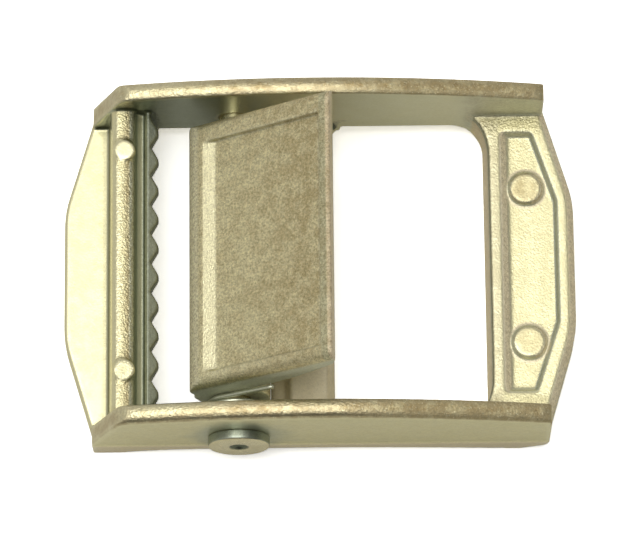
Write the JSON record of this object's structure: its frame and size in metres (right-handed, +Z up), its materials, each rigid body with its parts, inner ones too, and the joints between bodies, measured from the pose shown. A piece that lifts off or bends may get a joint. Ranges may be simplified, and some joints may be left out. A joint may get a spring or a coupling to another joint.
{
  "type": "cam buckle",
  "caption": "Die-cast cam buckle for flat webbing: toothed jaw bar, sprung thumb lever on a riveted pin, and a slot for a sewn loop.",
  "frame": {"origin": "on the surface the buckle lies on, at the middle of its length and midway between the side walls", "axes": "+X along the webbing from the jaw end to the loop end, +Y across the webbing, +Z up"},
  "size_m": [0.0436, 0.032, 0.0162],
  "materials": {
    "zinc_frame": "yellow-passivated zinc die casting, satin with bright worn edges",
    "zinc_lever": "yellow-passivated zinc die casting, rough tumbled face",
    "rivet_steel": "zinc-plated steel, turned and polished",
    "spring_wire": "bright spring wire"
  },
  "bodies": {
    "frame": {"frame": "zinc_frame", "pivot_rivet": "rivet_steel", "return_spring": "spring_wire"},
    "lever": {"cam_lever": "zinc_lever"}
  },
  "joints": [
    {"name": "lever_pivot", "type": "hinge", "parent": "frame", "child": "lever", "pos_m": [-0.0072, 0, 0.0044], "axis": [0, 1, 0], "range_deg": [0, 40], "stiffness_Nm_per_rad": 0.02, "springref_deg": -34.38}
  ]
}
